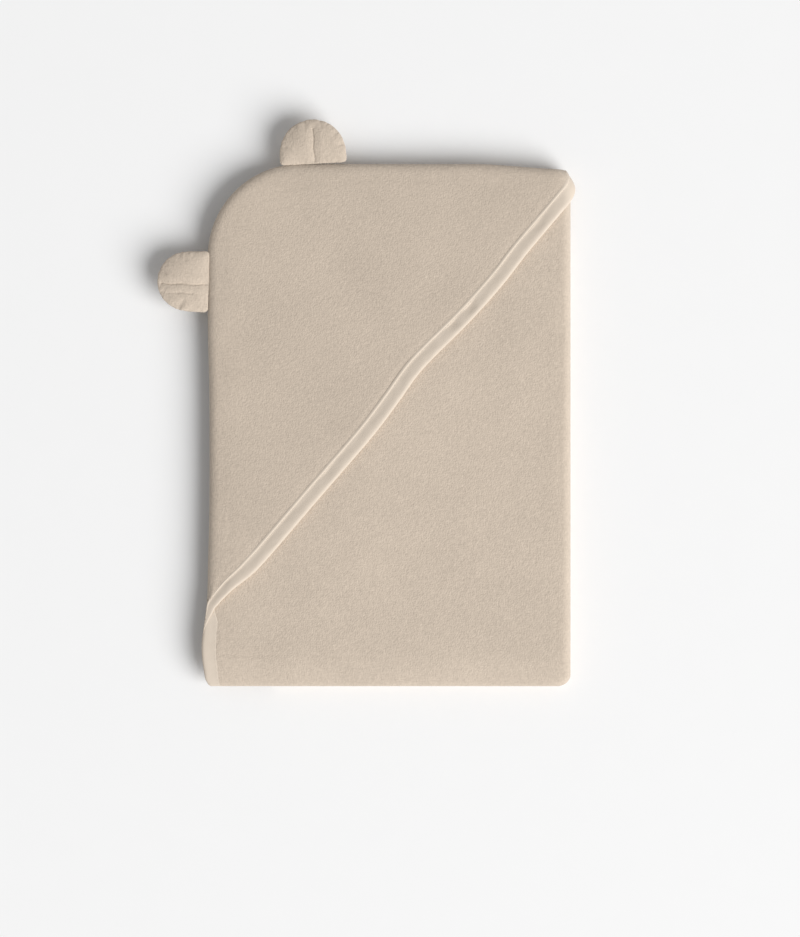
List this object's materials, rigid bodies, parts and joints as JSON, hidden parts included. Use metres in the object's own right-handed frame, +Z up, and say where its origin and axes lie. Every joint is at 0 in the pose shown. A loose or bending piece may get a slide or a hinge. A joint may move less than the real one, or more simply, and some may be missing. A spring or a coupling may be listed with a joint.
{
  "type": "hooded baby towel",
  "caption": "Folded hooded baby towel in plain terry, with a bound hood mouth across one corner and small padded ears sewn into the edge seams.",
  "frame": {"origin": "centre of the whole folded outline, ears included, on the surface it lies on", "axes": "+X towards the right fold, +Y towards the top edge with the ear on it, +Z up out of the folded stack"},
  "size_m": [0.2978, 0.406, 0.022],
  "materials": {
    "terry": "cotton terry loops, matt, beige",
    "binding": "plain-woven cotton bias tape, matt, light beige",
    "thread": "spun polyester sewing thread, light beige",
    "wadding": "polyester fibre wadding, off-white"
  },
  "bodies": {
    "bottom_leaf": {"towel_leaf_bottom": "terry", "edge_binding_bottom": "binding"},
    "middle_leaf": {"towel_leaf_middle": "terry", "edge_binding_middle": "binding"},
    "top_leaf": {"towel_leaf_top": "terry", "edge_binding_top": "binding", "hood_panel": "terry", "mouth_binding": "binding", "mouth_stitching": "thread", "edge_stitching": "thread", "hood_seam_thread": "thread"},
    "left_ear": {"left_ear_front": "terry", "left_ear_back": "terry", "left_ear_filling": "wadding"},
    "right_ear": {"right_ear_front": "terry", "right_ear_back": "terry", "right_ear_filling": "wadding"}
  },
  "joints": [
    {"name": "unfold_top", "type": "hinge", "parent": "middle_leaf", "child": "top_leaf", "pos_m": [0.14908, -0.016, 0.01205], "axis": [0, 1, 0], "range_deg": [0, 180]},
    {"name": "unfold_middle", "type": "hinge", "parent": "bottom_leaf", "child": "middle_leaf", "pos_m": [-0.06792, -0.016, 0.00595], "axis": [0, -1, 0], "range_deg": [0, 180]},
    {"name": "left_ear_bend", "type": "hinge", "parent": "top_leaf", "child": "left_ear", "pos_m": [-0.11392, 0.0866, 0.0181], "axis": [0, 1, 0], "range_deg": [0, 90], "stiffness_Nm_per_rad": 0.003},
    {"name": "right_ear_bend", "type": "hinge", "parent": "top_leaf", "child": "right_ear", "pos_m": [-0.03492, 0.173, 0.0181], "axis": [1, 0, 0], "range_deg": [0, 90], "stiffness_Nm_per_rad": 0.003}
  ]
}
